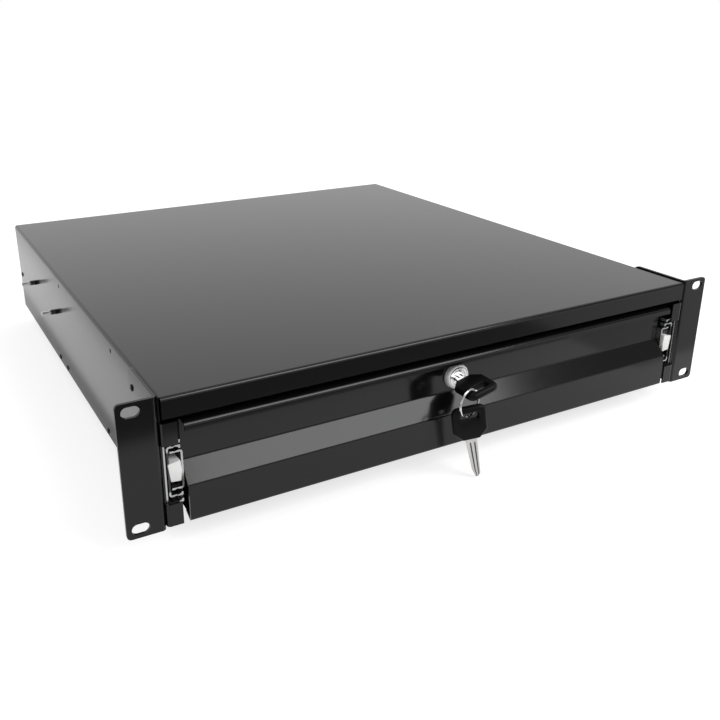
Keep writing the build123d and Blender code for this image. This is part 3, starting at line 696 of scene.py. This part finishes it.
lockTurned = {
    "rise": 6.6, "tilt": -13.0, "front": 2.5, "seat": 6.5, "end": 33.5, "sides": 96,
    "bore": 5.6, "boreEdge": 0.4, "boreRound": 0.12, "barrel": 7.9, "flat": 7.0, "face": 9.25,
    "ringLine": (7.2, 7.5), "ringDepth": 0.4, "ringWall": 0.05,
    "roundOut": 1.5, "roundBack": 3.0, "roundSteps": 12,
    "body": "drawer", "slot": "bright_metal", "replaces": ["lock_body"],
    "finishes": ["lockMetal", "ringShade", "rimHighlightMetal"],
}
lockPlace = shift(0, 0, lockTurned["rise"]) @ turn(lockTurned["tilt"], "Y")


# Bands say which finish each turned strip takes: face, ring line in painted shade, or rim with a painted
# highlight
def lockMesh(spec):
    bore, front, face = spec["bore"], spec["front"], spec["face"]
    edge, soft = spec["boreEdge"], spec["boreRound"]
    profile = [(bore, spec["end"]), (bore, front + edge), (bore + soft, front + soft), (bore + edge, front)]
    bands = [0] * len(profile)
    (inner, outer), wall, deep = spec["ringLine"], spec["ringWall"], front + spec["ringDepth"]
    profile += [(inner, front), (inner + wall, deep), (outer - wall, deep), (outer, front)]
    bands += [1, 1, 1, 0]
    for step in range(spec["roundSteps"] + 1):
        angle = math.pi / 2 * step / spec["roundSteps"]
        profile.append((face - spec["roundOut"] * (1 - math.sin(angle)),
                        front + spec["roundBack"] * (1 - math.cos(angle))))
        bands.append(2)
    barrel, flat = spec["barrel"], spec["flat"]
    profile += [(face, spec["seat"]), (barrel, spec["seat"], flat), (barrel, spec["end"], flat)]
    bands += [0] * (len(profile) - len(bands))
    finishes = [band for band in bands for side in range(spec["sides"])]
    return makeMesh("lockTurned", *turnedShape(profile, spec["sides"]), lockPlace, finishes=finishes)


addPiece("lockTurned", lockMesh(lockTurned), lockTurned)

# Keys: moulded heads with soft edges, and grooved blades

keyHead = {
    "waist": 6.0, "shoulder": 6.0, "half": 12.0, "length": 25.0, "corner": 5.0, "softCorner": 1.4,
    "slotHalf": 6.5, "slotHeight": 6.0, "slotEdge": 4.2, "slotCorner": 1.5, "steps": 6, "standOff": 2.5,
    "edge": [(1.75, 2.5), (1.3, 2.42), (0.9, 2.2), (0.6, 1.9), (0.3, 1.6), (0.08, 1.2), (0.0, 0.7)],
    "rim": [(0.5, 2.5), (0.3, 2.42), (0.12, 2.25), (0.02, 1.95), (0.0, 1.6)],
}
keyBlade = {
    "half": 4.0, "tang": 8.0, "length": 31.0, "tip": 3.0, "taper": 2.6, "thick": 1.0, "bevel": 0.2,
    "grooves": [0.34, 0.74], "grooveWidth": 1.0, "grooveDepth": 0.5, "grooveStart": 2.5, "grooveRamp": 1.2,
    "grooveFull": 1.2, "grooveStrips": [2, 3, 4, 6, 7, 8], "step": 0.6, "endGap": 0.3,
}
ringPlace = {"centre": (-9.013, -21.929, -0.846), "turn": 15.0, "radius": 9.75}
spareHang = {"turn": -20.0, "lean": -8.5, "drop": 17.441}

keyPlace = lockPlace @ shift(0, -keyHead["standOff"], 0)
hangPoint = Vector(ringPlace["centre"]) - Vector((0, 0, ringPlace["radius"]))
sparePlace = (shift(*hangPoint) @ turn(spareHang["turn"], "Z") @ turn(spareHang["lean"], "Y")
              @ turn(-90, "X") @ shift(0, spareHang["drop"], 0))


def keyHeadMesh(spec, place):
    soft = spec["softCorner"]
    half, low = spec["half"], -spec["length"]
    corners = [(spec["waist"], 0, soft), (-spec["waist"], 0, soft), (-half, -spec["shoulder"], soft),
               (-half, low, spec["corner"]), (half, low, spec["corner"]), (half, -spec["shoulder"], soft)]
    slotLow = low + spec["slotEdge"]
    slotHigh = slotLow + spec["slotHeight"]
    end, bend = spec["slotHalf"], spec["slotCorner"]
    slotCorners = [(end, slotHigh, bend), (-end, slotHigh, bend), (-end, slotLow, bend), (end, slotLow, bend)]
    outside = roundedLoop(corners, spec["steps"])
    slot = roundedLoop(slotCorners, spec["steps"])
    points, faces, caps = [], [], []
    for loop, profile, sign in ((outside, spec["edge"], 1), (slot, spec["rim"], -1)):
        levels = [(inset, -z) for inset, z in profile] + [(inset, z) for inset, z in reversed(profile)]
        base = len(points)
        for inset, z in levels:
            points += [(*point, z) for point in insetLoop(loop, sign * inset)]
        faces += [tuple(base + corner for corner in face) for face in ringFaces(len(levels), len(loop))]
        caps.append((list(range(base, base + len(loop))), list(range(len(points) - len(loop), len(points)))))
    for outer, inner in zip(*caps):
        flat = [[Vector((*points[corner][:2], 0)) for corner in loop] for loop in (outer, inner)]
        both = outer + inner
        faces += [tuple(both[corner] for corner in triangle) for triangle in tessellate_polygon(flat)]
    return makeMesh("keyHead", points, faces, place, 50.0)


def keyBladeMesh(spec, place):
    half, thick, bevel = spec["half"], spec["thick"], spec["bevel"]
    length, tip = spec["length"], spec["tip"]
    stations = [-spec["tang"], 0.0, spec["grooveStart"]]
    while stations[-1] + spec["step"] < length - spec["endGap"]:
        stations.append(stations[-1] + spec["step"])
    rings = []
    for along in stations:
        narrow = spec["taper"] * min(1.0, max(0.0, along / (length - 2 * tip)))
        point = max(0.0, along - length + 2 * tip) / (2 * tip)
        left = -half + narrow + point * (half - spec["taper"] + tip / 4)
        right = half - max(0.0, along - length + tip) / tip * (half - tip / 2)
        share = min(1.0, (right - left) / (2 * half) * spec["grooveFull"])
        ramp = min(1.0, max(0.0, (along - spec["grooveStart"]) / spec["grooveRamp"]))
        depth = spec["grooveDepth"] * ramp * share
        reach = spec["grooveWidth"] * share / 2
        lower = [(left, -thick + bevel), (left + bevel, -thick)]
        for groove in spec["grooves"]:
            centre = left + (right - left) * groove
            low, high = centre - reach, centre + reach
            lower += [(low, -thick), (low, -thick + depth), (high, -thick + depth), (high, -thick)]
        lower += [(right - bevel, -thick), (right, -thick + bevel)]
        ring = lower + [(x, -z) for x, z in reversed(lower)]
        rings.append([(x, along, z) for x, z in ring])
    sides = len(rings[0])
    strips = spec["grooveStrips"] + [sides - 2 - strip for strip in spec["grooveStrips"]]
    first = stations.index(spec["grooveStart"]) * sides
    faces = ringFaces(len(rings), sides)
    # Groove strips past the groove start take the painted shade finish
    finishes = [int(face >= first and face % sides in strips) for face in range(len(faces))]
    faces.append(tuple(range(sides)))
    faces.append(tuple(range((len(rings) - 1) * sides, len(rings) * sides)))
    points = [point for ring in rings for point in ring]
    return makeMesh("keyBlade", points, faces, place, finishes=finishes)


keySets = [("keyHead", "keyBlade", keyPlace, "key", "key_head", "key_blade"),
           ("spareKeyHead", "spareKeyBlade", sparePlace, "spare_key", "spare_key_head", "spare_key_blade")]
for headName, bladeName, place, body, headNode, bladeNode in keySets:
    addPiece(headName, keyHeadMesh(keyHead, place),
             {"body": body, "slot": "black_plastic", "finishes": ["blackPlastic"], "replaces": [headNode]})
    addPiece(bladeName, keyBladeMesh(keyBlade, place),
             {"body": body, "slot": "zinc_steel", "finishes": ["bladeSteel", "grooveShadeSteel"],
              "replaces": [bladeNode]})

# Split ring: two turns of flat wire with a step between them

splitRing = {
    "radius": 9.75, "wireOut": 0.56, "wireAcross": 0.35, "offset": 0.355, "stepAt": 225.0, "stepHalf": 26.0,
    "endGap": 30.0, "degrees": 4.0, "sides": 12,
    "body": "ring", "slot": "bright_metal", "finishes": ["brightMetal"], "replaces": ["key_ring"],
}


def splitRingMesh(spec, hang):
    start = spec["stepAt"] + spec["endGap"]
    end = spec["stepAt"] + 2 * fullTurn - spec["endGap"]
    count = int((end - start) / spec["degrees"]) + 1
    points = []
    for step in range(count):
        degrees = start + (end - start) * step / (count - 1)
        rise = max(-1.0, min(1.0, (degrees - spec["stepAt"] - fullTurn) / spec["stepHalf"]))
        rise = rise * (1.5 - 0.5 * rise * rise)  # smooth at both ends of the step
        angle = math.radians(degrees)
        for side in range(spec["sides"]):
            around = 2 * math.pi * side / spec["sides"]
            radius = spec["radius"] + spec["wireOut"] * math.cos(around)
            across = spec["offset"] * rise + spec["wireAcross"] * math.sin(around)
            points.append((radius * math.cos(angle), across, radius * math.sin(angle)))
    faces = ringFaces(count, spec["sides"])
    faces.append(tuple(range(spec["sides"])))
    faces.append(tuple(range((count - 1) * spec["sides"], count * spec["sides"])))
    return makeMesh("splitRing", points, faces, shift(*hang["centre"]) @ turn(hang["turn"], "Z"), 60.0)


addPiece("splitRing", splitRingMesh(splitRing, ringPlace), splitRing)

# White stops at the front of the slides: moulded blocks with a flange over the middle member's web

slideStop = {
    "inside": 204.3, "level": -7.75, "front": 0.2, "flange": 0.95, "end": 15.0, "webSide": 7.4,
    "outline": [(0.7, 7.0), (0.0, 0.5), (0.9, -7.0), (7.3, -6.3), (8.7, 5.6)],
    "corner": 0.7, "edge": 0.4, "edgeShare": 0.3, "steps": 4,
    "body": "slide_middles", "slot": "white_nylon", "finishes": ["whiteNylon"],
}


def slideStopMesh(name, spec, side):
    loop = roundedLoop([(x, z, spec["corner"]) for x, z in spec["outline"]], spec["steps"])
    edge, front = spec["edge"], spec["front"]
    part = edge * spec["edgeShare"]
    rings = [(insetLoop(loop, edge), front), (insetLoop(loop, part), front + part),
             (loop, front + edge), (loop, spec["flange"])]
    narrow = [Vector((min(point.x, spec["webSide"]), point.y)) for point in loop]
    rings += [(narrow, spec["flange"]), (narrow, spec["end"] - edge), (insetLoop(narrow, edge), spec["end"])]
    points = [(side * (spec["inside"] + point.x), y, spec["level"] + point.y)
              for ring, y in rings for point in ring]
    sides = len(loop)
    faces = ringFaces(len(rings), sides)
    faces.append(tuple(range(sides)))
    faces.append(tuple(range(len(points) - sides, len(points))))
    return makeMesh(name, points, faces)


for side, word in ((-1, "Left"), (1, "Right")):
    addPiece("slideStop" + word, slideStopMesh("slideStop" + word, slideStop, side),
             {**slideStop, "replaces": ["slide_bumper_" + word.lower()]})

# Painted shade: black sheets without shine that close the drawer front behind its lower face and slope, where
# its ends are dark hollows

frontEnd = {
    "half": 202.4, "sheet": 1.2, "corner": 0.5, "steps": 3,
    "outline": [(-2.7, -17.4), (-2.7, -40.9), (4.4, -37.6), (13.0, -37.0), (13.0, -34.8),
                (7.4, -34.8), (7.4, -5.4)],
    "body": "drawer", "slot": "black_paint", "finishes": ["shadeBlack"], "replaces": [],
}


def shadeSheetMesh(name, spec, side):
    loop = roundedLoop([(y, z, spec["corner"]) for y, z in spec["outline"]], spec["steps"])
    sides = len(loop)
    points = [(side * x, *point) for x in (spec["half"] - spec["sheet"], spec["half"]) for point in loop]
    faces = ringFaces(2, sides)
    faces += [tuple(range(sides)), tuple(range(sides, 2 * sides))]
    return makeMesh(name, points, faces)


for side, word in ((-1, "Left"), (1, "Right")):
    addPiece("frontEnd" + word, shadeSheetMesh("frontEnd" + word, frontEnd, side), frontEnd)

# Studio: white floor and room, dimmer in front and above, with one soft box and four cards

studio = {
    "floorGap": 0.0005,
    "floorSize": 30.0,
    "floorColor": (0.5, 0.5, 0.5),
    "floorLift": 0.72,
    "paperRough": 0.9,
    "worldLight": 0.95,
    "frontLevel": 0.25,
    "highBand": (0.2, 0.45),
    "frontBand": (0.05, -0.35),
    "softBox": {"at": (0.875, -1.25, 1.42), "aim": (0.875, 0.0, 0.0),
                "width": 1.21, "height": 1.2, "watts": 29.0},
    "cardLift": 0.002,
    "cards": {
        "darkCard": {"low": (-0.9, -0.8), "high": (0.24, -0.14), "color": (0.16, 0.16, 0.16)},
        "leftCard": {"low": (-2.4, 0.005), "high": (-0.27, 1.3), "color": (0.8, 0.8, 0.8)},
        "nearCard": {"low": (-0.232, 0.062), "high": (-0.222, 0.6), "color": (0.9, 0.9, 0.9)},
        "greyCard": {"low": (0.24, -0.8), "high": (1.4, -0.06), "color": (0.62, 0.62, 0.62)},
    },
}


def seenMask(tree):
    path = addNode(tree, "ShaderNodeLightPath")
    seen = addMath(tree, "MAXIMUM", path.outputs["Is Camera Ray"], path.outputs["Is Glossy Ray"])
    return addMath(tree, "MAXIMUM", seen, path.outputs["Is Transmission Ray"])


# A flat sheet of matt paper on the stage
def makePaper(name, low, high, level, color):
    mesh = bpy.data.meshes.new(name)
    (left, near), (right, far) = low, high
    corners = [(left, near, level), (right, near, level), (right, far, level), (left, far, level)]
    mesh.from_pydata(corners, [], [(0, 1, 2, 3)])
    paper = bpy.data.objects.new(name, mesh)
    bpy.context.scene.collection.objects.link(paper)
    material, tree, shader = newMaterial(name + "Paper")
    shader.inputs["Base Color"].default_value = (*color, 1)
    shader.inputs["Roughness"].default_value = studio["paperRough"]
    shader.inputs["Specular IOR Level"].default_value = 0.0
    mesh.materials.append(material)
    return paper, tree, shader


def makeFloor(spec):
    half = spec["floorSize"] / 2
    level = cadBox[0].z - spec["floorGap"]
    tree, shader = makePaper("floor", (-half, -half), (half, half), level, spec["floorColor"])[1:]
    shader.inputs["Emission Color"].default_value = (1, 1, 1, 1)
    lift = addMath(tree, "MULTIPLY", seenMask(tree), spec["floorLift"])
    tree.links.new(lift, shader.inputs["Emission Strength"])


# A card that only reflections see, so that the paint mirrors grey there
def makeCard(name, spec):
    level = cadBox[0].z + studio["cardLift"]
    card = makePaper(name, spec["low"], spec["high"], level, spec["color"])[0]
    card.visible_camera = False
    card.visible_diffuse = False
    card.visible_transmission = False
    card.visible_shadow = False


def makeWorld(spec):
    world = bpy.data.worlds.new("studioWorld")
    world.use_nodes = True
    tree = world.node_tree
    back = tree.nodes["Background"]
    back.inputs["Color"].default_value = (1, 1, 1, 1)
    direction = addNode(tree, "ShaderNodeTexCoord")
    split = addNode(tree, "ShaderNodeSeparateXYZ")
    tree.links.new(direction.outputs["Generated"], split.inputs["Vector"])
    high = addRange(tree, split.outputs["Z"], *spec["highBand"])
    front = addRange(tree, split.outputs["Y"], *spec["frontBand"])
    dim = addMath(tree, "MULTIPLY", high, front)
    shade = addRange(tree, dim, 0.0, 1.0, 1.0, spec["frontLevel"], "LINEAR")
    level = addRange(tree, seenMask(tree), 0.0, 1.0, spec["worldLight"], 1.0, "LINEAR")
    tree.links.new(addMath(tree, "MULTIPLY", shade, level), back.inputs["Strength"])
    bpy.context.scene.world = world


def makeSoftBox(name, spec):
    data = bpy.data.lights.new(name, "AREA")
    data.shape = "RECTANGLE"
    data.size = spec["width"]
    data.size_y = spec["height"]
    data.energy = spec["watts"]
    obj = bpy.data.objects.new(name, data)
    aim = Vector(spec["aim"]) - Vector(spec["at"])
    turned = aim.to_track_quat("-Z", "Y").to_matrix().to_4x4()
    obj.matrix_world = Matrix.Translation(spec["at"]) @ turned
    bpy.context.scene.collection.objects.link(obj)


makeFloor(studio)
for name, card in studio["cards"].items():
    makeCard(name, card)
makeWorld(studio)
makeSoftBox("softBox", studio["softBox"])
bpy.context.scene.view_settings.view_transform = "Standard"
print("studio ready")
